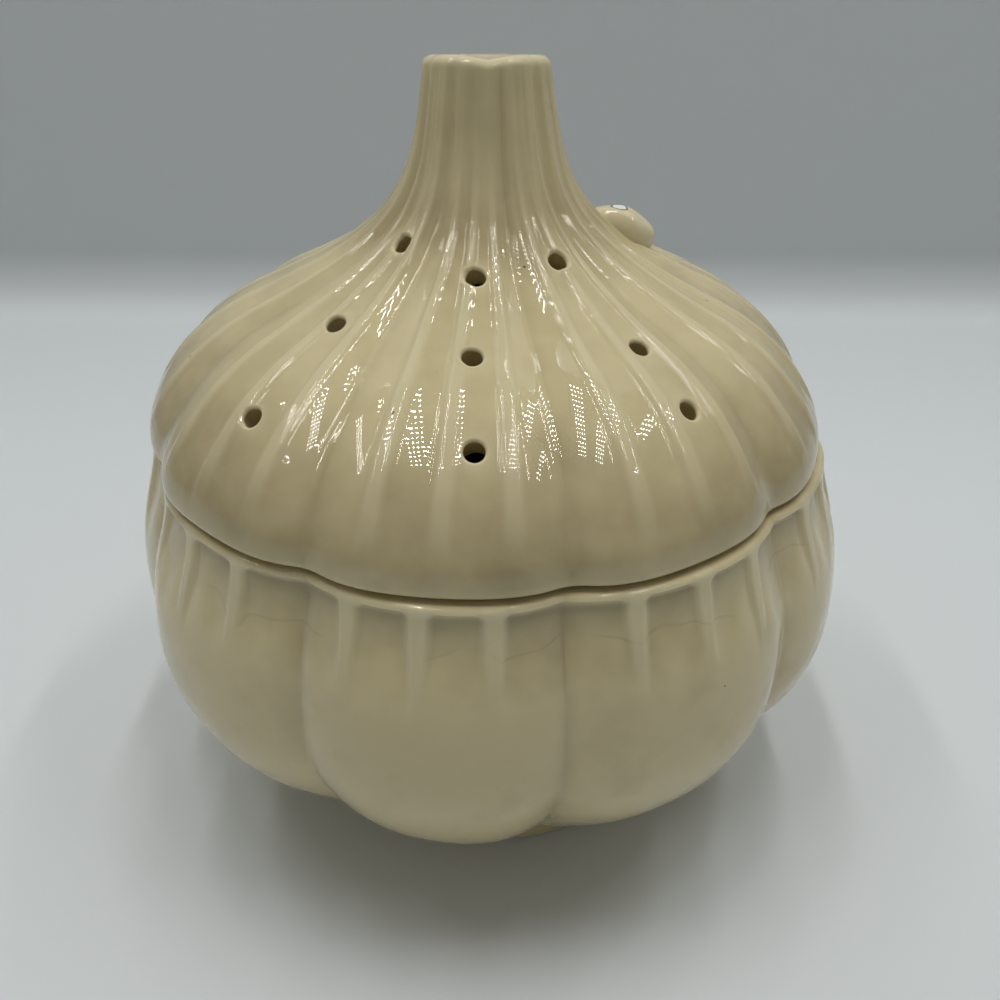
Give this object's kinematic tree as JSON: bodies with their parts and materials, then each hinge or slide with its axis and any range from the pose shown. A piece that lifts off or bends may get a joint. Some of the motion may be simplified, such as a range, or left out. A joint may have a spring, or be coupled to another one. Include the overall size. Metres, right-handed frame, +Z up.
{
  "type": "garlic keeper",
  "caption": "Glazed ceramic garlic keeper in the form of a garlic bulb: a clove-lobed jar with a lift-off lid, a fluted neck for a handle and air holes in the front.",
  "frame": {"origin": "bottom centre: on the table, under the middle of the foot ring", "axes": "+Z up, out of the jar's mouth; -Y towards the front of the bulb, where the air holes are; +X to the right as seen from the front"},
  "size_m": [0.144, 0.1446, 0.1457],
  "materials": {
    "jar_glaze": "glossy ivory glaze, pooled darker in the creases",
    "lid_glaze": "glossy ivory glaze, paler on the ribs",
    "sprig_glaze": "glossy ivory glaze with white glaze on top"
  },
  "bodies": {
    "jar": {"jar": "jar_glaze"},
    "lid": {"lid": "lid_glaze", "lid_sprig": "sprig_glaze"}
  },
  "joints": [
    {"name": "lid_lift", "type": "slide", "parent": "jar", "child": "lid", "axis": [0, 0, 1], "range_m": [0, 0.12]}
  ]
}
